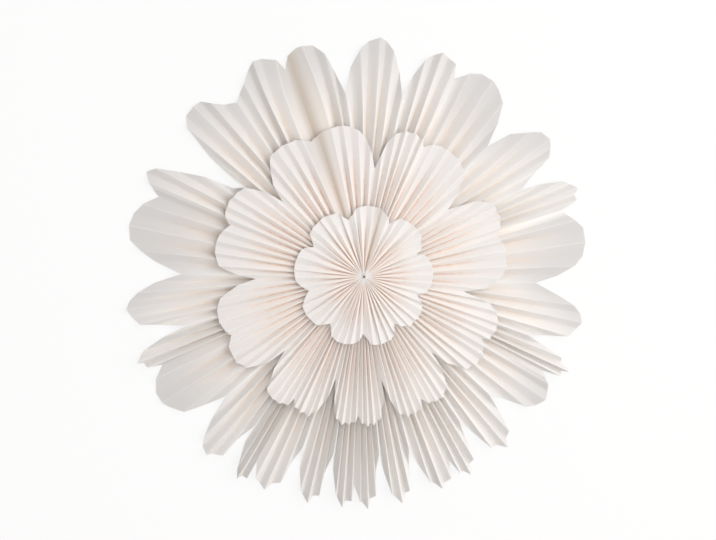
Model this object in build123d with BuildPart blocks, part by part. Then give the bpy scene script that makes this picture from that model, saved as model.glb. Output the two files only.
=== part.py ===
from build123d import *

import os
from dataclasses import dataclass
from math import cos, hypot, pi, radians, sin, sqrt

# A paper star of three pleated tiers, lying on its back with its face up.
# Each tier is a closed ring of fans. A fan is one sheet of paper, folded into radial pleats,
# cut to petals along its rim, and glued by a flap along one edge to the fan before it.
# The axis of the star is +Z and +Y is its top. The back folds of the outer tier lie on z = 0.
# Lengths are in millimetres and angles in degrees. Places along a rim are counted from the middle
# of a fan, in shares of a pleat.

# Paper and glue flaps
paper = 0.16
flap_width_share = 0.55

# Outer tier: a whole petal at the middle of each fan and a cut petal at each seam
outer_tip_radius = 238
outer_notch_radius = 181
outer_hole_radius = 14
outer_rim_rise = 3.5
outer_pleats = 11
outer_petal_place_shares = (-4.15, 0, 4.15)
outer_petal_half_shares = (2.15, 2, 2.15)
outer_petal_power = 2.3

# On the upper left one fan of the outer tier is cut unevenly: one of its notches is wider
# and deeper than the rest, and the other is shallow
open_notch_depth = 56
open_notch_place_share = 2.6
open_notch_half_share = 1.6
shallow_notch_rise = 31
shallow_notch_place_share = -2
shallow_notch_half_share = 0.75
uneven_cut_shares = (0, 0, 1, 0, 0, 0, 0, 0, 0)

# Middle tier: two petals to each fan, with a deep notch between them
middle_tip_radius = 152.5
middle_notch_radius = 109
middle_hole_radius = 9
middle_rim_rise = 3.5
middle_pleats = 10
middle_petal_place_shares = (-3.15, 3.15)
middle_petal_half_shares = (3.15, 3.15)
middle_petal_power = 3

# Inner tier: one shallow petal to each fan
inner_tip_radius = 71.5
inner_notch_radius = 58.5
inner_hole_radius = 2.4
inner_rim_rise = 4
inner_pleats = 5
inner_petal_place_shares = (0,)
inner_petal_half_shares = (2.5,)
inner_petal_power = 3

# The thread that draws the fold ends together at the middle of the star
thread = 1.1
thread_sides = 8
thread_clearance = 0.05
tie_height_share = 0.85

# How the star was opened by hand: its pleats gather towards the lower edge and are squeezed
# a little at the top and bottom, and the middles of some fans lean to one side.
outer_seam_angle = 27.6
outer_gather_angle = 0
outer_gather_share = 0.27
outer_squeeze_share = 0.05
outer_lean_shares = (-0.11, -0.04, 0.01, 0.14, 0.14, 0.04, -0.03, -0.06, -0.15)
middle_lean_shares = (-0.075, -0.08, 0.04, 0, 0.01, 0, -0.01, 0.01, -0.06)
inner_seam_angle = 26.5
inner_gather_angle = 24
inner_gather_share = 0.12
inner_squeeze_share = 0.033
no_fan_shares = (0,) * len(outer_lean_shares)

# Where a fold bends on its way from the hole to the rim. The flaps start at the first bend.
bend_shares = (0, 0.45, 0.78, 1)


@dataclass(kw_only=True)
class Tier:
    name: str
    base: float
    pleats: int
    tip_radius: float
    notch_radius: float
    hole_radius: float
    rim_rise: float
    petal_place_shares: tuple
    petal_half_shares: tuple
    petal_power: float
    seam_angle: float
    gather_angle: float
    gather_share: float
    squeeze_share: float
    lean_shares: tuple
    uneven_cut_shares: tuple

    @property
    def fans(self):
        return len(self.lean_shares)

    @property
    def folds(self):
        return 2 * self.pleats

    @property
    def places(self):
        """Every fold of the ring, as its fan and its number in that fan."""
        return [(fan, fold) for fan in range(self.fans) for fold in range(self.folds)]

    def fold_angle(self, fan, fold):
        """The direction of a fold, in radians anticlockwise from +X, seen from the front."""
        share = fold / self.folds
        lean = self.lean_shares[fan % self.fans] * sin(pi * share)
        turn = radians(self.seam_angle) + 2 * pi / self.fans * (fan + share + lean)
        gather = self.gather_share * cos(turn - radians(self.gather_angle))
        return turn - gather + self.squeeze_share * sin(2 * turn)

    def half_pitch(self, fan, fold):
        """Half the angle between the folds on both sides of this one."""
        before = self.fold_angle(fan, fold - 1) if fold else self.fold_angle(fan - 1, self.folds - 1)
        return (self.fold_angle(fan, fold + 1) - before) / 2

    def rim_radius(self, fan, fold):
        """The cut edge of the sheet, rounded over each petal."""
        place = (fold - self.pleats) / 2
        petals = zip(self.petal_place_shares, self.petal_half_shares)
        reach = min(abs(place - middle) / half for middle, half in petals)
        petal = (self.tip_radius - self.notch_radius) * (1 - reach**self.petal_power)
        opened = max(0, 1 - abs(place - open_notch_place_share) / open_notch_half_share)
        filled = max(0, 1 - abs(place - shallow_notch_place_share) / shallow_notch_half_share)
        cut = open_notch_depth * opened - shallow_notch_rise * filled
        return self.notch_radius + petal - cut * self.uneven_cut_shares[fan % self.fans]

    @property
    def panel_width(self):
        """The width of the paper between two folds, which the widest pleat needs at its rim."""
        widest = max(self.rim_radius(*place) * self.half_pitch(*place) for place in self.places)
        return hypot(widest, self.rim_rise)

    @property
    def depth(self):
        """The height of the pleats at the hole, where they stand almost closed."""
        tightest = min(self.hole_radius * self.half_pitch(*place) for place in self.places)
        return sqrt(self.panel_width**2 - tightest**2)


@dataclass
class Spot:
    """A point of a sheet: its place in plan and the heights of its back and its front."""

    x: float
    y: float
    back: float
    front: float

    @property
    def back_point(self):
        return Vector(self.x, self.y, self.back)

    @property
    def front_point(self):
        return Vector(self.x, self.y, self.front)

    def lifted(self):
        """The same point of a sheet that lies on this one."""
        return Spot(self.x, self.y, self.front, 2 * self.front - self.back)

    def towards(self, other, share):
        """A point part of the way to another one."""
        back = self.back_point + (other.back_point - self.back_point) * share
        front = self.front_point + (other.front_point - self.front_point) * share
        return Spot(back.X, back.Y, back.Z, front.Z)


def fold_line(tier, fan, fold):
    """The points of one fold, from the hole to the rim. Even folds are valleys."""
    angle = tier.fold_angle(fan, fold)
    half_pitch = tier.half_pitch(fan, fold)
    length = tier.rim_radius(fan, fold) - tier.hole_radius
    spots = []
    for share in bend_shares:
        radius = tier.hole_radius + length * share
        run = radius * half_pitch
        height = sqrt(tier.panel_width**2 - run**2)
        room = height**2 - paper**2
        rise = room / (height + sqrt(height**2 - (1 - (paper / run) ** 2) * room))
        back = tier.base + (rise if fold % 2 else 0)
        spots.append(Spot(radius * cos(angle), radius * sin(angle), back, back + height - rise))
    return spots


def flap_line(seam, ridge):
    """The line on the panel beside a seam where the flap of the next fan ends."""
    return [low.towards(high, flap_width_share) for low, high in zip(seam, ridge)]


def facet(*points):
    return Face(Wire.make_polygon(points))


def skins(lines):
    """The front and the back of a sheet between neighbouring lines, in flat triangles."""
    faces = []
    for one, two in zip(lines, lines[1:]):
        for side in ("front_point", "back_point"):
            here = [getattr(spot, side) for spot in one]
            there = [getattr(spot, side) for spot in two]
            for near in range(len(here) - 1):
                far = near + 1
                faces.append(facet(here[near], here[far], there[far]))
                faces.append(facet(here[near], there[far], there[near]))
    return faces


def end_walls(lines):
    """The cut edges of a sheet at both ends of its lines."""
    faces = []
    for one, two in zip(lines, lines[1:]):
        for end in (0, -1):
            a, b = one[end], two[end]
            faces.append(facet(a.front_point, b.front_point, b.back_point, a.back_point))
    return faces


def side_wall(line):
    """The cut edge of a sheet along a line."""
    fronts = [spot.front_point for spot in line]
    backs = [spot.back_point for spot in line]
    return facet(*fronts, *reversed(backs))


def folded_sheet(tier, fan):
    """One fan. Its first seam and its flap lie on the last panel of the fan before."""
    seam = fold_line(tier, fan, 0)
    flap_edge = flap_line(seam, fold_line(tier, fan - 1, tier.folds - 1))
    lifted_seam = seam[:1] + [spot.lifted() for spot in seam[1:]]
    lifted_edge = [spot.lifted() for spot in flap_edge[1:]]
    flap = [lifted_edge, lifted_seam[1:]]
    lines = [lifted_seam] + [fold_line(tier, fan, fold) for fold in range(1, tier.folds)]
    next_seam = fold_line(tier, fan + 1, 0)
    lines += [flap_line(next_seam, lines[-1]), next_seam]
    faces = skins(lines) + end_walls(lines) + skins(flap) + end_walls(flap)
    faces += [side_wall(lifted_seam[:2]), side_wall(lifted_edge), side_wall(next_seam)]
    return Solid(Shell(faces))


outer = Tier(
    name="outer",
    base=0,
    pleats=outer_pleats,
    tip_radius=outer_tip_radius,
    notch_radius=outer_notch_radius,
    hole_radius=outer_hole_radius,
    rim_rise=outer_rim_rise,
    petal_place_shares=outer_petal_place_shares,
    petal_half_shares=outer_petal_half_shares,
    petal_power=outer_petal_power,
    seam_angle=outer_seam_angle,
    gather_angle=outer_gather_angle,
    gather_share=outer_gather_share,
    squeeze_share=outer_squeeze_share,
    lean_shares=outer_lean_shares,
    uneven_cut_shares=uneven_cut_shares,
)
middle = Tier(
    name="middle",
    base=outer.depth,
    pleats=middle_pleats,
    tip_radius=middle_tip_radius,
    notch_radius=middle_notch_radius,
    hole_radius=middle_hole_radius,
    rim_rise=middle_rim_rise,
    petal_place_shares=middle_petal_place_shares,
    petal_half_shares=middle_petal_half_shares,
    petal_power=middle_petal_power,
    seam_angle=outer_seam_angle,
    gather_angle=outer_gather_angle,
    gather_share=outer_gather_share,
    squeeze_share=outer_squeeze_share,
    lean_shares=middle_lean_shares,
    uneven_cut_shares=no_fan_shares,
)
inner = Tier(
    name="inner",
    base=middle.base + middle.depth,
    pleats=inner_pleats,
    tip_radius=inner_tip_radius,
    notch_radius=inner_notch_radius,
    hole_radius=inner_hole_radius,
    rim_rise=inner_rim_rise,
    petal_place_shares=inner_petal_place_shares,
    petal_half_shares=inner_petal_half_shares,
    petal_power=inner_petal_power,
    seam_angle=inner_seam_angle,
    gather_angle=inner_gather_angle,
    gather_share=inner_gather_share,
    squeeze_share=inner_squeeze_share,
    lean_shares=no_fan_shares,
    uneven_cut_shares=no_fan_shares,
)

os.makedirs("parts", exist_ok=True)

# The fans of the three tiers
for tier in (outer, middle, inner):
    print(tier.name, "panel width", round(tier.panel_width, 2), "base", round(tier.base, 2))
    for fan in range(tier.fans):
        sheet = folded_sheet(tier, fan)
        with BuildPart() as folded_fan:
            add(sheet)
        folded_fan.part.label = f"{tier.name}_fan_{fan + 1}"
        export_step(folded_fan.part, f"parts/{tier.name}_fan_{fan + 1}.step")

# The tie, a ring of thread inside the fold ends of the inner tier, near their front
tie_radius = inner_hole_radius - thread_clearance - thread / 2
with BuildPart() as tie:
    with BuildSketch(Plane.XZ):
        with Locations((tie_radius, inner.base + inner.depth * tie_height_share)):
            RegularPolygon(thread / 2, thread_sides)
    revolve(axis=Axis.Z)
tie.part.label = "centre_tie"
export_step(tie.part, "parts/centre_tie.step")
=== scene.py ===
import math

import bpy
from mathutils import Matrix, Vector


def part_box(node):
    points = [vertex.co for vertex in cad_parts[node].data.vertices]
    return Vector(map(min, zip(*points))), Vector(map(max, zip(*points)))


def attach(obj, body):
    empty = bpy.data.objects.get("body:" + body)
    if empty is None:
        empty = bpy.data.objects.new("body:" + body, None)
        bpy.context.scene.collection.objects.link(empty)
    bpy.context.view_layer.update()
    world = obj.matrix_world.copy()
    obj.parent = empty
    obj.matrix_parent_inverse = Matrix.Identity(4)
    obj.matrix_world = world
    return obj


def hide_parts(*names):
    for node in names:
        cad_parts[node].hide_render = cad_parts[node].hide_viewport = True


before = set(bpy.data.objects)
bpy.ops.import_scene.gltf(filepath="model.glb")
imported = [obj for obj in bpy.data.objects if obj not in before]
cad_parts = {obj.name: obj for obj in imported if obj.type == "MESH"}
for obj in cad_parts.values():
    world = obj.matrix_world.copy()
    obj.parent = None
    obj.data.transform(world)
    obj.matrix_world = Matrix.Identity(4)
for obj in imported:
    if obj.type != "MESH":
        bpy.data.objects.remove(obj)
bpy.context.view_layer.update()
scene = bpy.context.scene
mm = 0.001
print("stage: frame loaded,", len(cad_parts), "nodes")


# node helpers, used by the geometry trees and the materials

def feed(tree, socket, value):
    if isinstance(value, bpy.types.NodeSocket):
        tree.links.new(value, socket)
    elif value is not None:
        socket.default_value = value


def addNode(tree, kind, inputs=None, **settings):
    node = tree.nodes.new(kind)
    for name, value in settings.items():
        setattr(node, name, value)
    for key, value in (inputs or {}).items():
        feed(tree, node.inputs[key], value)
    return node


def calc(tree, operation, *values):
    node = addNode(tree, "ShaderNodeMath", operation=operation)
    for socket, value in zip(node.inputs, values):
        feed(tree, socket, value)
    return node.outputs[0]


def vectorCalc(tree, operation, *values):
    node = addNode(tree, "ShaderNodeVectorMath", operation=operation)
    for socket, value in zip(node.inputs, values):
        feed(tree, socket, value)
    return node.outputs[0]


def scaleVector(tree, vector, factor):
    node = addNode(tree, "ShaderNodeVectorMath", {0: vector, "Scale": factor}, operation="SCALE")
    return node.outputs[0]


def lengthOf(tree, vector):
    return addNode(tree, "ShaderNodeVectorMath", {0: vector}, operation="LENGTH").outputs["Value"]


def mixNumbers(tree, factor, a, b):
    return calc(tree, "MULTIPLY_ADD", factor, calc(tree, "SUBTRACT", b, a), a)


def remap(tree, value, low, high, newLow=0.0, newHigh=1.0, kind="SMOOTHSTEP"):
    node = addNode(tree, "ShaderNodeMapRange", interpolation_type=kind)
    for socket, number in zip(node.inputs, (value, low, high, newLow, newHigh)):
        feed(tree, socket, number)
    return node.outputs[0]


def newSockets(tree, inOut, sockets):
    for name, kind, value in sockets:
        socket = tree.interface.new_socket(name, in_out=inOut, socket_type=kind)
        if value is not None:
            socket.default_value = value


def noiseOf(tree, vector, scale, detail=2.0, roughness=0.5):
    inputs = {"Vector": vector, "Scale": scale, "Detail": detail, "Roughness": roughness}
    return addNode(tree, "ShaderNodeTexNoise", inputs).outputs[0]


# camera: the star lies face up, seen from a little left of its axis and a little above it

camera = {
    "distance": 1.7,
    "left": math.radians(9),
    "up": math.radians(7),
    "lens": 85.5,
    "sensorWidth": 36,
    "clipEnd": 20,
    "aim": (-0.0055, 0.0065, 0.025),   # right and up in the picture, then height on the axis
}


def makeCamera(c):
    data = bpy.data.cameras.new("starCamera")
    data.lens = c["lens"]
    data.sensor_width = c["sensorWidth"]
    data.clip_end = c["clipEnd"]
    x, y = -math.sin(c["left"]), math.sin(c["up"])
    back = Vector((x, y, math.sqrt(1 - x * x - y * y)))
    right = Vector((0, 1, 0)).cross(back).normalized()
    up = back.cross(right)
    aim = right * c["aim"][0] + up * c["aim"][1] + Vector((0, 0, c["aim"][2]))
    place = Matrix((right, up, back)).transposed().to_4x4()
    place.translation = aim + back * c["distance"]
    cam = bpy.data.objects.new("starCamera", data)
    cam.matrix_world = place
    scene.collection.objects.link(cam)
    scene.camera = cam


makeCamera(camera)
print("stage: camera placed")


# shader groups that the papers share

tightToWide = (0.3, 0.75)    # openness of a pleat, as a share of its panel, from tight to wide

paperFibre = {
    "swirlScale": 350.0, "swirlDetail": 1.0, "swirlReach": 2 * mm,
    "fibreDetail": 4.0, "fibreRoughness": 0.65,
    "strandWidth": 0.12, "strandHeight": 0.5,
    "cloudDetail": 3.0, "cloudRoughness": 0.6,
}


def paperFibreGroup(f):
    # fibre tangle and slow cloudiness of uncoated paper
    tree = bpy.data.node_groups.new("paperFibre", "ShaderNodeTree")
    newSockets(tree, "INPUT", [
        ("Position", "NodeSocketVector", None),
        ("Fibre Scale", "NodeSocketFloat", 900.0),
        ("Cloud Scale", "NodeSocketFloat", 60.0),
        ("Cloud Share", "NodeSocketFloat", 0.5),
    ])
    newSockets(tree, "OUTPUT", [
        ("Tone", "NodeSocketFloat", None),
        ("Height", "NodeSocketFloat", None),
    ])
    inn = tree.nodes.new("NodeGroupInput").outputs
    out = tree.nodes.new("NodeGroupOutput").inputs
    swirlInputs = {"Vector": inn["Position"], "Scale": f["swirlScale"], "Detail": f["swirlDetail"]}
    swirl = addNode(tree, "ShaderNodeTexNoise", swirlInputs).outputs["Color"]
    place = vectorCalc(tree, "ADD", inn["Position"], scaleVector(tree, swirl, f["swirlReach"]))
    fibres = noiseOf(tree, place, inn["Fibre Scale"], f["fibreDetail"], f["fibreRoughness"])
    strands = calc(tree, "ABSOLUTE", calc(tree, "SUBTRACT", fibres, 0.5))
    strands = remap(tree, strands, 0.0, f["strandWidth"], 1.0, 0.0)
    clouds = noiseOf(tree, inn["Position"], inn["Cloud Scale"], f["cloudDetail"], f["cloudRoughness"])
    tree.links.new(mixNumbers(tree, inn["Cloud Share"], strands, clouds), out["Tone"])
    tree.links.new(calc(tree, "MULTIPLY_ADD", strands, f["strandHeight"], fibres), out["Height"])
    return tree


# settings for the painted ridge highlight and valley shade, varied by a random rub
pleatPaintedLightAndWear = {
    "rubScale": 240.0, "rubDetail": 3.0, "rubRoughness": 0.6,
    "rubFrom": 0.3, "rubTo": 0.7, "rubLeast": 0.45,
    "pressed": 0.05, "released": 0.4,              # openness between which a crease changes its width
    "pressedRidge": 3.2, "pressedValley": 0.75,    # times the width of a released one
    "rootStart": 6 * mm,                           # from the cut rim
}


def pleatPaintedLightAndWearGroup(w):
    # the sheet attribute holds the folds counted round the ring, how far the pleat is open
    # and the metres to the cut rim
    # masks for painted light: highlight on the ridges and along the cut rim, shade in the valleys, the
    # root that painted bounce light warms, and the openness that lightens tight pleats; a random rub
    # varies the first three
    tree = bpy.data.node_groups.new("pleatPaintedLightAndWear", "ShaderNodeTree")
    newSockets(tree, "INPUT", [
        ("Sheet", "NodeSocketVector", None),
        ("Position", "NodeSocketVector", None),
        ("Ridge Width", "NodeSocketFloat", 0.1),
        ("Valley Width", "NodeSocketFloat", 0.5),
        ("Rim Width", "NodeSocketFloat", 0.0012),
        ("Root Distance", "NodeSocketFloat", 0.07),
    ])
    newSockets(tree, "OUTPUT", [
        ("Ridge", "NodeSocketFloat", None),
        ("Valley", "NodeSocketFloat", None),
        ("Rim", "NodeSocketFloat", None),
        ("Root", "NodeSocketFloat", None),
        ("Open", "NodeSocketFloat", None),
    ])
    inn = tree.nodes.new("NodeGroupInput").outputs
    out = tree.nodes.new("NodeGroupOutput").inputs
    parts = addNode(tree, "ShaderNodeSeparateXYZ", {0: inn["Sheet"]}).outputs
    turn = calc(tree, "MULTIPLY", calc(tree, "FRACT", calc(tree, "MULTIPLY", parts[0], 0.5)), 2.0)
    toRidge = calc(tree, "ABSOLUTE", calc(tree, "SUBTRACT", turn, 1.0))
    toValley = calc(tree, "SUBTRACT", 1.0, toRidge)
    rubbed = noiseOf(tree, inn["Position"], w["rubScale"], w["rubDetail"], w["rubRoughness"])
    worn = remap(tree, rubbed, w["rubFrom"], w["rubTo"], w["rubLeast"], 1.0)
    # pressed together near the hole, a pleat shows more of its ridge than of its valley, so the painted
    # ridge highlight widens and the painted valley shade narrows
    ridgeTimes = remap(tree, parts[1], w["pressed"], w["released"], w["pressedRidge"], 1.0)
    valleyTimes = remap(tree, parts[1], w["pressed"], w["released"], w["pressedValley"], 1.0)
    ridgeWidth = calc(tree, "MULTIPLY", inn["Ridge Width"], ridgeTimes)
    valleyWidth = calc(tree, "MULTIPLY", inn["Valley Width"], valleyTimes)
    ridge = remap(tree, toRidge, 0.0, ridgeWidth, 1.0, 0.0)
    valley = remap(tree, toValley, 0.0, valleyWidth, 1.0, 0.0)
    rim = remap(tree, parts[2], 0.0, inn["Rim Width"], 1.0, 0.0)
    root = remap(tree, parts[2], w["rootStart"], inn["Root Distance"])
    tree.links.new(calc(tree, "MULTIPLY", ridge, worn), out["Ridge"])
    tree.links.new(calc(tree, "MULTIPLY", valley, worn), out["Valley"])
    tree.links.new(calc(tree, "MULTIPLY", rim, worn), out["Rim"])
    tree.links.new(root, out["Root"])
    tree.links.new(remap(tree, parts[1], *tightToWide), out["Open"])
    return tree


def lightPassingGroup():
    # thin paper passes light on from behind, so a pleat's two sides differ less than their slopes do
    tree = bpy.data.node_groups.new("lightPassing", "ShaderNodeTree")
    newSockets(tree, "INPUT", [
        ("Normal", "NodeSocketVector", None),
        ("Share", "NodeSocketFloat", 0.5),
    ])
    newSockets(tree, "OUTPUT", [("Normal", "NodeSocketVector", None)])
    inn = tree.nodes.new("NodeGroupInput").outputs
    out = tree.nodes.new("NodeGroupOutput").inputs
    facing = calc(tree, "SIGN", addNode(tree, "ShaderNodeSeparateXYZ", {0: inn["Normal"]}).outputs[2])
    upright = addNode(tree, "ShaderNodeCombineXYZ", {"X": 0.0, "Y": 0.0, "Z": facing}).outputs[0]
    mixInputs = {0: inn["Share"], 4: inn["Normal"], 5: upright}
    mix = addNode(tree, "ShaderNodeMix", mixInputs, data_type="VECTOR")
    tree.links.new(vectorCalc(tree, "NORMALIZE", mix.outputs[1]), out["Normal"])
    return tree


fibreGroup = paperFibreGroup(paperFibre)
paintedLightAndWearGroup = pleatPaintedLightAndWearGroup(pleatPaintedLightAndWear)
softGroup = lightPassingGroup()


def groupNode(tree, group, inputs):
    return addNode(tree, "ShaderNodeGroup", inputs, node_tree=group).outputs


def mixColours(tree, factor, a, b):
    return addNode(tree, "ShaderNodeMix", {0: factor, 6: a, 7: b}, data_type="RGBA").outputs[2]


def makePaper(name, p):
    material = bpy.data.materials.new(name)
    material.use_nodes = True
    tree = material.node_tree
    shader = tree.nodes["Principled BSDF"]
    place = addNode(tree, "ShaderNodeTexCoord").outputs["Object"]
    sheet = addNode(tree, "ShaderNodeAttribute", attribute_name="sheet").outputs["Vector"]
    lapShade = addNode(tree, "ShaderNodeAttribute", attribute_name="lapShade").outputs["Fac"]
    fibre = groupNode(tree, fibreGroup, {
        "Position": place,
        "Fibre Scale": p["fibreScale"],
        "Cloud Scale": p["cloudScale"],
        "Cloud Share": p["cloudShare"],
    })
    paintedLightAndWear = groupNode(tree, paintedLightAndWearGroup, {
        "Sheet": sheet,
        "Position": place,
        "Ridge Width": p["ridgeWidth"],
        "Valley Width": p["valleyWidth"],
        "Rim Width": p["rimWidth"],
        "Root Distance": p["rootDistance"],
    })
    # painted light and shade: open pleats cool white to grey at the cut rim, tight pleats lighter, lighter
    # and warmer towards the gathered root as painted bounce light, and painted warm shade down in the
    # folds
    colour = mixColours(tree, paintedLightAndWear["Open"], (*p["tight"], 1), (*p["rim"], 1))
    rootColour = mixColours(tree, paintedLightAndWear["Open"], (*p["tightRoot"], 1), (*p["root"], 1))
    colour = mixColours(tree, paintedLightAndWear["Root"], colour, rootColour)
    # painted warm shade down in the folds, stronger towards the root
    valleyShadeShare = remap(tree, paintedLightAndWear["Root"], 0, 1, p["valleyShadeAtRim"], p["valleyShadeShare"])
    shaded = vectorCalc(tree, "MULTIPLY", colour, p["valleyShadeTint"])
    colour = mixColours(tree, calc(tree, "MULTIPLY", paintedLightAndWear["Valley"], valleyShadeShare), colour, shaded)
    # painted highlight along the ridges and the cut rim
    highlight = calc(tree, "MAXIMUM", paintedLightAndWear["Ridge"], paintedLightAndWear["Rim"])
    colour = mixColours(tree, calc(tree, "MULTIPLY", highlight, p["ridgeHighlightShare"]), colour, (*p["ridge"], 1))
    # painted highlight: the fold ends near the axis, where the thread draws them together, lighten to the
    # ridge colour
    fromAxis = lengthOf(tree, vectorCalc(tree, "MULTIPLY", place, (1.0, 1.0, 0.0)))
    hubHighlight = remap(tree, fromAxis, p["hubHighlightFull"], p["hubHighlightEnd"], 1.0, 0.0)
    colour = mixColours(tree, hubHighlight, colour, (*p["ridge"], 1))
    # painted shade on the lapped panel where the ring was closed, darkest at the slit; the two layers
    # there also pass less light
    colour = mixColours(tree, calc(tree, "MULTIPLY", lapShade, p["lapShadeShare"]), colour, (*p["lap"], 1))
    cloudy = remap(tree, fibre["Tone"], 0.0, 1.0, p["clouding"], 1.0, "LINEAR")
    feed(tree, shader.inputs["Base Color"], scaleVector(tree, colour, cloudy))
    smoothest, roughest = p["roughness"]
    rough = remap(tree, fibre["Tone"], 0.0, 1.0, smoothest, roughest, "LINEAR")
    rough = calc(tree, "MULTIPLY_ADD", paintedLightAndWear["Ridge"], -p["ridgeShine"], rough)
    feed(tree, shader.inputs["Roughness"], rough)
    crease = calc(tree, "SUBTRACT", paintedLightAndWear["Ridge"], paintedLightAndWear["Valley"])
    height = calc(tree, "MULTIPLY_ADD", crease, p["creaseHeight"], fibre["Height"])
    bump = addNode(tree, "ShaderNodeBump", {
        "Strength": p["bumpStrength"],
        "Distance": p["bump"],
        "Height": height,
    })
    soft = groupNode(tree, softGroup, {"Normal": bump.outputs[0], "Share": p["passing"]})
    feed(tree, shader.inputs["Normal"], soft["Normal"])
    shader.inputs["Specular IOR Level"].default_value = p["specular"]
    return material


# these colours paint light and shade into the paper: the rim colours darken open pleats, the tight ones
# lighten tight pleats, the root ones are painted warm bounce light, the valley tint is painted shade in
# the folds, the ridge colour a painted highlight and the lap colour painted shade at the closing
outerPaper = {
    "rim": (0.665, 0.662, 0.658), "tight": (0.975, 0.955, 0.93),
    "root": (0.825, 0.775, 0.735), "tightRoot": (0.985, 0.94, 0.895), "rootDistance": 0.09,
    "valleyShadeTint": (0.97, 0.88, 0.80), "valleyWidth": 0.5, "valleyShadeShare": 0.7, "valleyShadeAtRim": 0.15,
    "ridge": (0.95, 0.94, 0.93), "ridgeWidth": 0.1, "ridgeHighlightShare": 0.3, "rimWidth": 0.0012,
    "lap": (0.54, 0.475, 0.405), "lapShadeShare": 0.66, "hubHighlightFull": 4 * mm, "hubHighlightEnd": 11 * mm,
    "fibreScale": 900.0, "cloudScale": 55.0, "cloudShare": 0.6, "clouding": 0.965,
    "roughness": (0.82, 0.94), "ridgeShine": 0.08, "specular": 0.22,
    "creaseHeight": 0.8, "bumpStrength": 0.35, "bump": 0.00005,
    "passing": 0.6,    # how far the shading turns to the star's axis
}
middlePaper = {
    **outerPaper,
    "rim": (0.80, 0.785, 0.775), "tight": (0.935, 0.90, 0.87),
    "root": (0.87, 0.785, 0.73), "tightRoot": (0.94, 0.87, 0.82), "rootDistance": 0.08,
    "valleyShadeTint": (0.87, 0.665, 0.55), "valleyWidth": 0.45, "valleyShadeShare": 0.95, "valleyShadeAtRim": 0.15,
    "ridge": (0.95, 0.935, 0.92), "ridgeWidth": 0.16, "ridgeHighlightShare": 0.6, "passing": 0.5,
}
innerPaper = {
    **middlePaper,
    "rim": (0.825, 0.805, 0.79), "tight": (0.87, 0.84, 0.82),
    "root": (0.895, 0.80, 0.74), "tightRoot": (0.92, 0.82, 0.755), "rootDistance": 0.06,
    "valleyShadeTint": (0.78, 0.60, 0.50), "valleyWidth": 0.5, "valleyShadeShare": 0.9,
    "ridgeWidth": 0.22, "ridgeHighlightShare": 0.7, "lapShadeShare": 0.5, "passing": 0.3,
}


# pleated fans: one geometry tree folds, cuts and overlaps every sheet of the star

fanCount = 9
paperThickness = 0.16 * mm
creaseAngle = math.radians(35)    # sharper than this, an edge is a crease
nearly = 0.0001                   # keeps rounding from moving a fold to the next panel

handFolding = {
    "idsPerFan": 64.0,                                   # more than any fan has folds
    "unevenDraw": 0, "sunkDraw": 31, "raggedDraw": 57,   # a row of random numbers for each
    "relaxFrom": 0.6, "relaxTo": 0.95,                   # shares of the way from the hole to the rim
    "pinchFade": 0.4, "pinchTurn": 0.886,                # from pleat to pleat, and along the pleat
    "waveScale": 28.0,
    "flapLift": 1.6,                                     # in thicknesses of paper
    # the lap widths and strengths shape the painted shade beside the slit of the closed ring
    "lapWidth": 0.6, "lapRight": (1.0, 0.3), "lapLeft": (0.4, 1.3),    # beside the slit of the closed ring
}


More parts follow.
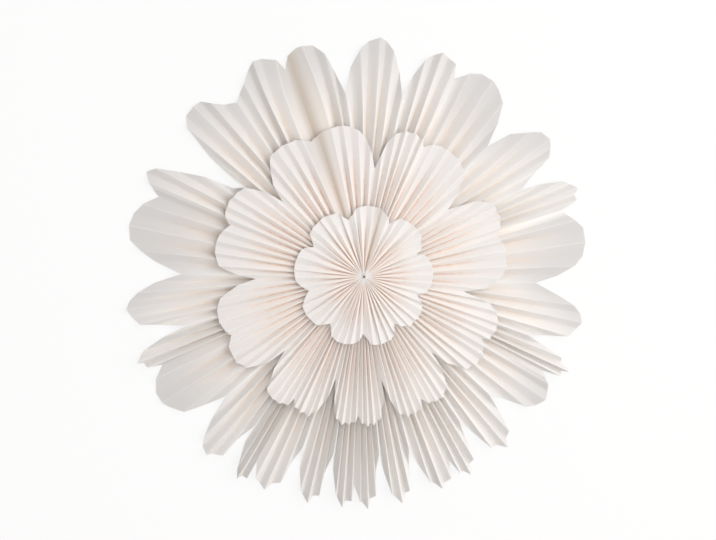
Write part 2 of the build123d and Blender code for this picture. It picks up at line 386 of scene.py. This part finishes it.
def pleatedFanTree(h):
    tree = bpy.data.node_groups.new("pleatedFan", "GeometryNodeTree")
    number, whole = "NodeSocketFloat", "NodeSocketInt"
    newSockets(tree, "OUTPUT", [("Sheet", "NodeSocketGeometry", None)])
    newSockets(tree, "INPUT", [
        ("Fans", whole, fanCount), ("Fan", whole, 0), ("Pleats", whole, 11),
        ("Tip Radius", number, 0.238), ("Notch Radius", number, 0.181), ("Hole Radius", number, 0.014),
        ("Panel Width", number, 0.01328), ("Base", number, 0.0), ("Paper", number, paperThickness),
        ("Near Petal", number, 0.0), ("Near Half", number, 2.0), ("Far Petal", number, 4.15),
        ("Far Half", number, 2.15), ("Petal Power", number, 2.3), ("Reach", number, 1.0),
        ("Open Depth", number, 0.0), ("Open Place", number, 2.6), ("Open Half", number, 1.6),
        ("Shallow Rise", number, 0.0), ("Shallow Place", number, -2.0), ("Shallow Half", number, 0.75),
        ("Seam Angle", number, 0.0), ("Gather Angle", number, 0.0), ("Gather", number, 0.27),
        ("Squeeze", number, 0.05), ("Lean", number, 0.0), ("Lean Before", number, 0.0),
        ("Close Fold", number, 43.0), ("Close Half", number, 2.0), ("Close Depth", number, 1.0),
        ("Pinch", number, 0.0), ("Droop", number, 0.0),
        ("Flap Share", number, 0.55), ("Flap Start", number, 0.45),
        ("Jitter", number, 0.22), ("Ridge Drop", number, 0.12), ("Spring", number, 0.35),
        ("Wave", number, 0.0012), ("Crowd", number, 1.0), ("Crowd Radius", number, 0.09),
        ("Rim Relief", number, 0.5), ("Tooth", number, 0.004), ("Cut Jitter", number, 0.001),
        ("Panel Columns", whole, 6), ("Rings", whole, 30), ("Seed", whole, 5),
        ("Material", "NodeSocketMaterial", None),
    ])
    inn = tree.nodes.new("NodeGroupInput").outputs
    out = tree.nodes.new("NodeGroupOutput").inputs

    def do(operation, *values):
        return calc(tree, operation, *values)

    folds = do("MULTIPLY", inn["Pleats"], 2.0)
    columns = do("MULTIPLY_ADD", do("ADD", folds, 1.0), inn["Panel Columns"], 1.0)
    gridInputs = {"Size X": 1.0, "Size Y": 1.0, "Vertices X": columns, "Vertices Y": inn["Rings"]}
    grid = addNode(tree, "GeometryNodeMeshGrid", gridInputs)
    gridPoint = addNode(tree, "GeometryNodeInputPosition").outputs[0]
    spot = addNode(tree, "ShaderNodeSeparateXYZ", {0: gridPoint}).outputs
    along = do("ADD", spot[1], 0.5)

    # folds counted along the sheet, with the glue flap squeezed into the first panel's columns
    step = do("MULTIPLY", do("ADD", spot[0], 0.5), do("ADD", folds, 1.0))
    step = do("SUBTRACT", step, 1.0)
    onFlap = do("LESS_THAN", step, -nearly)
    fold = mixNumbers(tree, onFlap, step, do("MULTIPLY", step, inn["Flap Share"]))
    foldBelow = do("MINIMUM", do("FLOOR", do("ADD", fold, nearly)), do("SUBTRACT", folds, 1.0))
    across = do("SUBTRACT", fold, foldBelow)

    def foldAngle(fan, lean, foldNumber):
        share = do("DIVIDE", foldNumber, folds)
        leaned = do("MULTIPLY", lean, do("SINE", do("MULTIPLY", share, math.pi)))
        place = do("ADD", do("ADD", fan, share), leaned)
        turn = do("MULTIPLY_ADD", place, do("DIVIDE", math.tau, inn["Fans"]), inn["Seam Angle"])
        gathered = do("MULTIPLY", inn["Gather"], do("COSINE", do("SUBTRACT", turn, inn["Gather Angle"])))
        squeezed = do("MULTIPLY", inn["Squeeze"], do("SINE", do("MULTIPLY", turn, 2.0)))
        return do("ADD", do("SUBTRACT", turn, gathered), squeezed)

    def chanceOf(fanNumber, k, draw):
        node = addNode(tree, "FunctionNodeRandomValue", data_type="FLOAT")
        feed(tree, node.inputs[2], -1.0)
        feed(tree, node.inputs[3], 1.0)
        feed(tree, node.inputs["ID"], do("MULTIPLY_ADD", fanNumber, h["idsPerFan"], k))
        feed(tree, node.inputs["Seed"], do("ADD", inn["Seed"], draw))
        return node.outputs[1]

    def awayFrom(place, middle, half):
        return do("DIVIDE", do("ABSOLUTE", do("SUBTRACT", place, inn[middle])), inn[half])

    def foldPoint(foldNumber):
        isBefore = do("LESS_THAN", foldNumber, -0.5)
        k = do("MULTIPLY_ADD", isBefore, folds, foldNumber)
        fan = do("SUBTRACT", inn["Fan"], isBefore)
        lean = mixNumbers(tree, isBefore, inn["Lean"], inn["Lean Before"])
        angleAfter = foldAngle(fan, lean, do("ADD", k, 1.0))
        angleBefore = foldAngle(fan, lean, do("SUBTRACT", k, 1.0))
        halfPitch = do("MULTIPLY", do("SUBTRACT", angleAfter, angleBefore), 0.5)
        # hand folding is never quite even, but the glued seams keep their places
        fanNumber = do("FLOORED_MODULO", fan, inn["Fans"])
        afterFirst = do("GREATER_THAN", k, 0.5)
        beforeLast = do("LESS_THAN", k, do("SUBTRACT", folds, 0.5))
        between = do("MULTIPLY", afterFirst, beforeLast)
        uneven = do("MULTIPLY", chanceOf(fanNumber, k, h["unevenDraw"]), inn["Jitter"])
        uneven = do("MULTIPLY", uneven, between)
        angle = do("MULTIPLY_ADD", uneven, halfPitch, foldAngle(fan, lean, k))
        # the cut rim, rounded over each petal
        place = do("MULTIPLY", do("SUBTRACT", k, inn["Pleats"]), 0.5)
        fromMiddle = do("ABSOLUTE", place)
        near = awayFrom(fromMiddle, "Near Petal", "Near Half")
        far = awayFrom(fromMiddle, "Far Petal", "Far Half")
        petal = do("SUBTRACT", 1.0, do("POWER", do("MINIMUM", near, far), inn["Petal Power"]))
        petalLength = do("SUBTRACT", inn["Tip Radius"], inn["Notch Radius"])
        rim = do("MULTIPLY_ADD", petalLength, petal, inn["Notch Radius"])
        # one sheet was cut with an open notch and a shallow one
        opened = do("MAXIMUM", do("SUBTRACT", 1.0, awayFrom(place, "Open Place", "Open Half")), 0.0)
        rim = do("SUBTRACT", rim, do("MULTIPLY", inn["Open Depth"], opened))
        filled = do("MAXIMUM", do("SUBTRACT", 1.0, awayFrom(place, "Shallow Place", "Shallow Half")), 0.0)
        rim = do("MULTIPLY_ADD", inn["Shallow Rise"], filled, rim)
        rim = do("MULTIPLY", rim, inn["Reach"])
        isRidge = do("FLOORED_MODULO", k, 2.0)
        # the stack was cut folded, so tight pleats end in small teeth
        wide = do("DIVIDE", do("MULTIPLY", rim, halfPitch), inn["Panel Width"])
        wide = remap(tree, wide, *tightToWide)
        tooth = do("MULTIPLY", do("MULTIPLY", isRidge, do("SUBTRACT", 1.0, wide)), inn["Tooth"])
        ragged = do("MULTIPLY", chanceOf(fanNumber, k, h["raggedDraw"]), between)
        ragged = do("MULTIPLY", ragged, inn["Cut Jitter"])
        rim = do("ADD", rim, do("ADD", tooth, ragged))
        radius = mixNumbers(tree, along, inn["Hole Radius"], rim)
        # the panel width stays, so the pleat flattens as it widens
        run = do("MULTIPLY", radius, halfPitch)
        height = do("SUBTRACT", do("POWER", inn["Panel Width"], 2.0), do("POWER", run, 2.0))
        height = do("SQRT", do("MAXIMUM", height, 0.0))
        # towards the rim the wide pleats relax, the tight ones keep standing
        relaxed = do("MULTIPLY", wide, remap(tree, along, h["relaxFrom"], h["relaxTo"]))
        relaxed = do("MULTIPLY", relaxed, do("SUBTRACT", 1.0, inn["Rim Relief"]))
        # where the ring of sheets was closed by hand, two pleats are drawn out to one wide valley
        ringFold = do("MULTIPLY_ADD", fanNumber, folds, k)
        fromClose = do("SUBTRACT", ringFold, inn["Close Fold"])
        drawn = do("DIVIDE", do("ABSOLUTE", fromClose), inn["Close Half"])
        isDrawn = do("LESS_THAN", drawn, 0.99)    # the two folds at its edges stay ridges
        # the pleats beside it are pushed apart half way out and drawn together at the rim
        beyond = do("MAXIMUM", do("SUBTRACT", drawn, 1.0), 0.0)
        beyond = do("MULTIPLY", beyond, h["pinchFade"])
        fading = do("EXPONENT", do("MULTIPLY", do("POWER", beyond, 2.0), -1.0))
        pushed = do("MULTIPLY", do("MINIMUM", drawn, 1.0), fading)
        pushed = do("MULTIPLY", do("MULTIPLY", pushed, do("SIGN", fromClose)), inn["Pinch"])
        swing = do("MULTIPLY", along, do("SUBTRACT", 1.0, do("DIVIDE", along, h["pinchTurn"])))
        angle = do("MULTIPLY_ADD", pushed, swing, angle)
        height = do("MULTIPLY", height, do("SUBTRACT", 1.0, relaxed))
        sunk = do("MULTIPLY", do("MULTIPLY", chanceOf(fanNumber, k, h["sunkDraw"]), 0.5), between)
        sunk = do("MULTIPLY", do("MULTIPLY", do("ADD", sunk, 0.5), inn["Ridge Drop"]), between)
        raised = do("MULTIPLY", isRidge, do("SUBTRACT", 1.0, sunk))
        shallow = mixNumbers(tree, inn["Close Depth"], 1.0, drawn)
        raised = mixNumbers(tree, isDrawn, raised, shallow)
        height = do("SUBTRACT", height, do("MULTIPLY", inn["Paper"], 2.0))
        height = do("MULTIPLY_ADD", raised, height, do("ADD", inn["Base"], inn["Paper"]))
        x = do("MULTIPLY", radius, do("COSINE", angle))
        y = do("MULTIPLY", radius, do("SINE", angle))
        sag = do("MULTIPLY", do("MULTIPLY", wide, inn["Droop"]), do("POWER", along, 3.0))
        return {
            "x": x,
            "y": y,
            "z": height,
            "radius": radius,
            "toRim": do("SUBTRACT", rim, radius),
            "sag": sag,
            "openness": do("DIVIDE", run, inn["Panel Width"]),
        }

    low = foldPoint(foldBelow)
    high = foldPoint(do("ADD", foldBelow, 1.0))
    x, y, radius, toRim, sag, openness = [
        mixNumbers(tree, across, low[key], high[key])
        for key in ("x", "y", "radius", "toRim", "sag", "openness")
    ]

    # panels of springy paper curve from crease to crease near the rim,
    # and near the hole the ridges crowd against each other with only slits between them
    lowIsRidge = do("FLOORED_MODULO", foldBelow, 2.0)
    up = mixNumbers(tree, lowIsRidge, across, do("SUBTRACT", 1.0, across))
    top = mixNumbers(tree, lowIsRidge, high["z"], low["z"])
    bottom = mixNumbers(tree, lowIsRidge, low["z"], high["z"])
    closeness = do("POWER", do("DIVIDE", radius, inn["Crowd Radius"]), 2.0)
    crowding = do("EXPONENT", do("MULTIPLY", closeness, -1.0))
    steep = do("MULTIPLY_ADD", inn["Crowd"], crowding, 1.0)
    crowded = do("SUBTRACT", 1.0, do("POWER", do("SUBTRACT", 1.0, up), steep))
    sprung = do("MULTIPLY", do("SUBTRACT", 1.0, do("COSINE", do("MULTIPLY", up, math.pi))), 0.5)
    profile = mixNumbers(tree, do("MULTIPLY", inn["Spring"], along), crowded, sprung)
    # the drawn out valley stays straight
    ringPlace = do("MULTIPLY_ADD", inn["Fan"], folds, fold)
    fromSlit = do("DIVIDE", do("SUBTRACT", ringPlace, inn["Close Fold"]), inn["Close Half"])
    straight = do("LESS_THAN", do("ABSOLUTE", fromSlit), 1.0)
    profile = mixNumbers(tree, straight, profile, up)
    z = mixNumbers(tree, profile, bottom, top)

    # slow waves in the whole sheet, shared by neighbouring sheets because they read the place alone
    plan = addNode(tree, "ShaderNodeCombineXYZ", {"X": x, "Y": y, "Z": inn["Base"]}).outputs[0]
    wave = do("SUBTRACT", noiseOf(tree, plan, h["waveScale"]), 0.5)
    z = do("MULTIPLY_ADD", do("MULTIPLY", wave, inn["Wave"]), do("MULTIPLY", along, 2.0), z)
    z = do("MAXIMUM", z, do("ADD", inn["Base"], inn["Paper"]))
    z = do("SUBTRACT", z, sag)

    # the flap lies on the last panel of the sheet before
    lift = addNode(tree, "ShaderNodeClamp", {"Value": do("SUBTRACT", 1.0, fold)}).outputs[0]
    lift = do("MULTIPLY", lift, do("GREATER_THAN", along, inn["Flap Start"]))
    z = do("MULTIPLY_ADD", lift, do("MULTIPLY", inn["Paper"], h["flapLift"]), z)
    point = addNode(tree, "ShaderNodeCombineXYZ", {"X": x, "Y": y, "Z": z}).outputs[0]

    def store(geometry, name, kind, value):
        inputs = {"Geometry": geometry, "Name": name}
        node = addNode(tree, "GeometryNodeStoreNamedAttribute", inputs, data_type=kind, domain="POINT")
        feed(tree, node.inputs["Value"], value)
        return node.outputs[0]

    # the two drawn out pleats count as one, so that their slit is marked as a valley and gets the painted
    # valley shade
    passed = addNode(tree, "ShaderNodeClamp", {"Value": do("MULTIPLY_ADD", fromSlit, 0.5, 0.5)}).outputs[0]
    counted = do("SUBTRACT", ringPlace, do("MULTIPLY", passed, inn["Close Half"]))
    sheet = addNode(tree, "ShaderNodeCombineXYZ", {"X": counted, "Y": openness, "Z": toRim}).outputs[0]
    stored = store(grid.outputs[0], "sheet", "FLOAT_VECTOR", sheet)
    # painted shade where one sheet laps the next along the slit, darkest at the slit itself
    rightLap = remap(tree, fromSlit, 0.0, h["lapWidth"], *h["lapRight"])
    leftLap = remap(tree, fromSlit, -h["lapWidth"], 0.0, *h["lapLeft"])
    onLeft = do("LESS_THAN", fromSlit, 0.01)
    lapped = mixNumbers(tree, onLeft, rightLap, leftLap)
    marked = store(stored, "lapShade", "FLOAT", do("MULTIPLY", lapped, straight))
    # the flap starts only part of the way out
    hidden = do("MULTIPLY", onFlap, do("LESS_THAN", along, inn["Flap Start"]))
    trimInputs = {"Geometry": marked, "Selection": hidden}
    trimmed = addNode(tree, "GeometryNodeDeleteGeometry", trimInputs, domain="POINT")
    placed = addNode(tree, "GeometryNodeSetPosition", {"Geometry": trimmed.outputs[0], "Position": point})
    flipped = addNode(tree, "GeometryNodeFlipFaces", {0: placed.outputs[0]})
    smooth = addNode(tree, "GeometryNodeSetShadeSmooth", {0: flipped.outputs[0]})
    real = addNode(tree, "GeometryNodeRealizeInstances", {0: smooth.outputs[0]})
    paint = addNode(tree, "GeometryNodeSetMaterial", {0: real.outputs[0], "Material": inn["Material"]})
    tree.links.new(paint.outputs[0], out["Sheet"])
    return tree


fanTree = pleatedFanTree(handFolding)
fanInputs = {
    item.name: item.identifier
    for item in fanTree.interface.items_tree
    if item.in_out == "INPUT"
}


def plainMesh(obj, name):
    # what the modifiers make becomes the piece's own mesh
    graph = bpy.context.evaluated_depsgraph_get()
    made = obj.evaluated_get(graph)
    mesh = bpy.data.meshes.new_from_object(made, preserve_all_data_layers=True, depsgraph=graph)
    mesh.name = name
    bpy.data.objects.remove(obj)
    return mesh


def makeFan(tier, fan, material):
    node = f"{tier['node']}_{fan + 1}"
    holder = bpy.data.objects.new("holder", bpy.data.meshes.new("holder"))
    scene.collection.objects.link(holder)
    sizes = dict(tier["sizes"])
    sizes["Fan"] = fan
    sizes["Base"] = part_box(node)[0].z
    sizes["Lean"] = tier["lean"][fan]
    sizes["Lean Before"] = tier["lean"][fan - 1]
    sizes["Open Depth"] = tier["openDepth"].get(fan, 0.0)
    sizes["Shallow Rise"] = tier["shallowRise"].get(fan, 0.0)
    sizes["Reach"] = tier["reach"][fan]
    sizes["Paper"] = paperThickness
    sizes["Material"] = material
    modifier = holder.modifiers.new("pleatedFan", "NODES")
    modifier.node_group = fanTree
    for name, value in sizes.items():
        modifier[fanInputs[name]] = value
    wall = holder.modifiers.new("thickness", "SOLIDIFY")
    wall.thickness = paperThickness
    wall.offset = 0
    mesh = plainMesh(holder, node + "_sheet")
    mesh.set_sharp_from_angle(angle=creaseAngle)
    piece = bpy.data.objects.new(node + "_sheet", mesh)
    scene.collection.objects.link(piece)
    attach(piece, "root")
    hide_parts(node)
    return len(mesh.polygons)


outerFans = {
    "node": "outer_fan",
    "sizes": {
        "Fans": fanCount, "Pleats": 11, "Panel Width": 13.28 * mm,
        "Tip Radius": 238 * mm, "Notch Radius": 181 * mm, "Hole Radius": 14 * mm,
        "Near Petal": 0.0, "Near Half": 2.0, "Far Petal": 4.15, "Far Half": 2.15, "Petal Power": 2.3,
        "Open Place": 2.6, "Open Half": 1.6, "Shallow Place": -2.0, "Shallow Half": 0.75,
        "Seam Angle": math.radians(27.6), "Gather Angle": 0.0, "Gather": 0.27, "Squeeze": 0.05,
        "Jitter": 0.22, "Ridge Drop": 0.12, "Crowd": 1.0, "Crowd Radius": 90 * mm,
        "Rim Relief": 0.5, "Tooth": 4 * mm, "Cut Jitter": 1.0 * mm, "Spring": 0.35, "Wave": 1.2 * mm,
        "Close Fold": 43, "Close Depth": 0.45, "Pinch": math.radians(8),
        "Panel Columns": 6, "Rings": 30, "Seed": 5,
    },
    "lean": (-0.11, -0.04, 0.01, 0.14, 0.14, 0.04, -0.03, -0.06, -0.15),
    "openDepth": {2: 56 * mm},
    "shallowRise": {2: 31 * mm},
    "reach": (1.0, 0.995, 1.0, 0.992, 1.0, 0.995, 1.0, 0.994, 1.0),
}
middleFans = {
    "node": "middle_fan",
    "sizes": {
        "Fans": fanCount, "Pleats": 10, "Panel Width": 8.45 * mm,
        "Tip Radius": 152.5 * mm, "Notch Radius": 109 * mm, "Hole Radius": 9 * mm,
        "Near Petal": 3.15, "Near Half": 3.15, "Far Petal": 3.15, "Far Half": 3.15, "Petal Power": 3.0,
        "Seam Angle": math.radians(27.6), "Gather Angle": 0.0, "Gather": 0.27, "Squeeze": 0.05,
        "Jitter": 0.3, "Ridge Drop": 0.2, "Crowd": 1.5, "Crowd Radius": 60 * mm,
        "Rim Relief": 0.6, "Tooth": 2.5 * mm, "Cut Jitter": 0.7 * mm, "Spring": 0.3, "Wave": 1.0 * mm,
        "Close Fold": 39, "Close Depth": 0.5, "Droop": 1.5 * mm,
        "Panel Columns": 6, "Rings": 24, "Seed": 8,
    },
    "lean": (-0.075, -0.08, 0.04, 0.0, 0.01, 0.0, -0.01, 0.01, -0.06),
    "openDepth": {},
    "shallowRise": {},
    "reach": (1.0, 0.99, 1.0, 0.985, 1.0, 0.99, 1.0, 0.99, 0.985),
}
innerFans = {
    "node": "inner_fan",
    "sizes": {
        "Fans": fanCount, "Pleats": 5, "Panel Width": 6.92 * mm,
        "Tip Radius": 71.5 * mm, "Notch Radius": 58.5 * mm, "Hole Radius": 2.4 * mm,
        "Near Petal": 0.0, "Near Half": 2.5, "Far Petal": 0.0, "Far Half": 2.5, "Petal Power": 3.0,
        "Seam Angle": math.radians(26.5), "Gather Angle": math.radians(24), "Gather": 0.12,
        "Squeeze": 0.033, "Jitter": 0.45, "Ridge Drop": 0.25, "Crowd": 3.0, "Crowd Radius": 30 * mm,
        "Rim Relief": 0.5, "Tooth": 1 * mm, "Cut Jitter": 0.5 * mm, "Spring": 0.15, "Wave": 0.8 * mm,
        "Close Fold": 13,
        "Panel Columns": 6, "Rings": 18, "Seed": 4,
    },
    "lean": (0.0,) * fanCount,
    "openDepth": {},
    "shallowRise": {},
    "reach": (1.0, 0.99, 1.0, 0.98, 0.96, 0.985, 1.0, 0.99, 1.0),
}

for tier, paper in ((outerFans, outerPaper), (middleFans, middlePaper), (innerFans, innerPaper)):
    material = makePaper(tier["node"] + "_paper", paper)
    faces = sum(makeFan(tier, fan, material) for fan in range(fanCount))
    print("stage:", tier["node"], "folded,", faces, "faces")


# the tie: a twisted thread drawn round inside the fold ends

tie = {
    "node": "centre_tie", "strands": 3, "twists": 14, "turnSteps": 168, "sides": 8,
    "strandShare": 0.52,    # of the thread's radius
    "colour": (0.96, 0.94, 0.91), "dark": (0.86, 0.81, 0.75), "roughness": (0.9, 0.7),
    "fibreScale": 5000.0, "cloudScale": 900.0, "cloudShare": 0.4,
    "bumpStrength": 0.5, "bump": 0.00003,
}


def makeThread(t):
    material = bpy.data.materials.new("tieThread")
    material.use_nodes = True
    tree = material.node_tree
    shader = tree.nodes["Principled BSDF"]
    place = addNode(tree, "ShaderNodeTexCoord").outputs["Object"]
    fibre = groupNode(tree, fibreGroup, {
        "Position": place,
        "Fibre Scale": t["fibreScale"],
        "Cloud Scale": t["cloudScale"],
        "Cloud Share": t["cloudShare"],
    })
    colour = mixColours(tree, fibre["Tone"], (*t["dark"], 1), (*t["colour"], 1))
    feed(tree, shader.inputs["Base Color"], colour)
    rough = remap(tree, fibre["Tone"], 0.0, 1.0, *t["roughness"], "LINEAR")
    feed(tree, shader.inputs["Roughness"], rough)
    bump = addNode(tree, "ShaderNodeBump", {
        "Strength": t["bumpStrength"],
        "Distance": t["bump"],
        "Height": fibre["Height"],
    })
    feed(tree, shader.inputs["Normal"], bump.outputs[0])
    return material


def makeTie(t):
    low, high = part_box(t["node"])
    radius = (high.z - low.z) / 2
    middle = (high.z + low.z) / 2
    ring = (high.x - low.x) / 2 - radius
    strandRadius = radius * t["strandShare"]
    strandRing = radius - strandRadius
    verts, faces = [], []
    for strand in range(t["strands"]):
        first = len(verts)
        for step in range(t["turnSteps"]):
            a = math.tau * step / t["turnSteps"]
            b = t["twists"] * a + math.tau * strand / t["strands"]
            for side in range(t["sides"]):
                c = math.tau * side / t["sides"]
                outward = strandRing * math.cos(b) + strandRadius * math.cos(c)
                height = strandRing * math.sin(b) + strandRadius * math.sin(c)
                r = ring + outward
                verts.append((r * math.cos(a), r * math.sin(a), middle + height))
        for step in range(t["turnSteps"]):
            after = (step + 1) % t["turnSteps"]
            for side in range(t["sides"]):
                beside = (side + 1) % t["sides"]
                faces.append((
                    first + step * t["sides"] + side,
                    first + after * t["sides"] + side,
                    first + after * t["sides"] + beside,
                    first + step * t["sides"] + beside,
                ))
    mesh = bpy.data.meshes.new("centre_tie_thread")
    mesh.from_pydata(verts, [], faces)
    mesh.shade_smooth()
    mesh.materials.append(makeThread(t))
    piece = bpy.data.objects.new("centre_tie_thread", mesh)
    scene.collection.objects.link(piece)
    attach(piece, "root")
    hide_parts(t["node"])


makeTie(tie)
print("stage: centre tie wound")


# floor and light

studio = {
    "floorSize": 12.0,
    "floorColour": (0.90, 0.90, 0.90),
    "floorRoughness": 0.9,
    "floorGlow": 0.8,                    # share of plain white that the camera sees on the floor
    "glowFrom": 0.06, "glowTo": 0.12,    # metres from the axis, under the star the floor stays dark
    "worldColour": (1.0, 0.962, 0.945),
    "worldStrength": 0.525,
    "lamps": {
        "windowLight": {
            "power": 22.0, "size": 2.2, "place": (1.1, 0.45, 1.2),
            "colour": (1.0, 0.985, 0.975), "shadow": True,
        },
        # stands for the light that the paper passes, so it throws no shadow
        "frontLight": {
            "power": 12.4, "size": 1.6, "place": (-0.05, -0.3, 2.4),
            "colour": (1.0, 0.98, 0.965), "shadow": False,
        },
    },
}


def raysThatSeeIt(tree):
    rays = addNode(tree, "ShaderNodeLightPath").outputs
    seen = calc(tree, "MAXIMUM", rays["Is Camera Ray"], rays["Is Glossy Ray"])
    return calc(tree, "MAXIMUM", seen, rays["Is Transmission Ray"])


def makeFloor(s):
    half = s["floorSize"] / 2
    mesh = bpy.data.meshes.new("floor")
    corners = [(-half, -half, 0), (half, -half, 0), (half, half, 0), (-half, half, 0)]
    mesh.from_pydata(corners, [], [(0, 1, 2, 3)])
    floor = bpy.data.objects.new("floor", mesh)
    scene.collection.objects.link(floor)
    material = bpy.data.materials.new("paleFloor")
    material.use_nodes = True
    tree = material.node_tree
    shader = tree.nodes["Principled BSDF"]
    shader.inputs["Base Color"].default_value = (*s["floorColour"], 1)
    shader.inputs["Roughness"].default_value = s["floorRoughness"]
    glow = addNode(tree, "ShaderNodeEmission")
    place = addNode(tree, "ShaderNodeTexCoord").outputs["Object"]
    clear = remap(tree, lengthOf(tree, place), s["glowFrom"], s["glowTo"])
    share = calc(tree, "MULTIPLY", raysThatSeeIt(tree), clear)
    share = calc(tree, "MULTIPLY", share, s["floorGlow"])
    mix = addNode(tree, "ShaderNodeMixShader", {0: share, 1: shader.outputs[0], 2: glow.outputs[0]})
    tree.links.new(mix.outputs[0], tree.nodes["Material Output"].inputs["Surface"])
    mesh.materials.append(material)


def makeWorld(s):
    world = bpy.data.worlds.new("studioWorld")
    world.use_nodes = True
    tree = world.node_tree
    soft = tree.nodes["Background"]
    soft.inputs["Color"].default_value = (*s["worldColour"], 1)
    soft.inputs["Strength"].default_value = s["worldStrength"]
    white = addNode(tree, "ShaderNodeBackground", {"Color": (1, 1, 1, 1), "Strength": 1.0})
    mixInputs = {0: raysThatSeeIt(tree), 1: soft.outputs[0], 2: white.outputs[0]}
    mix = addNode(tree, "ShaderNodeMixShader", mixInputs)
    tree.links.new(mix.outputs[0], tree.nodes["World Output"].inputs["Surface"])
    scene.world = world


def makeLamp(name, lamp):
    data = bpy.data.lights.new(name, "AREA")
    data.energy = lamp["power"]
    data.size = lamp["size"]
    data.color = lamp["colour"]
    data.use_shadow = lamp["shadow"]
    light = bpy.data.objects.new(name, data)
    light.location = lamp["place"]
    light.rotation_euler = Vector(lamp["place"]).to_track_quat("Z", "Y").to_euler()
    scene.collection.objects.link(light)


makeFloor(studio)
makeWorld(studio)
for lampName, lamp in studio["lamps"].items():
    makeLamp(lampName, lamp)
scene.view_settings.view_transform = "Standard"
print("stage: floor and light set")
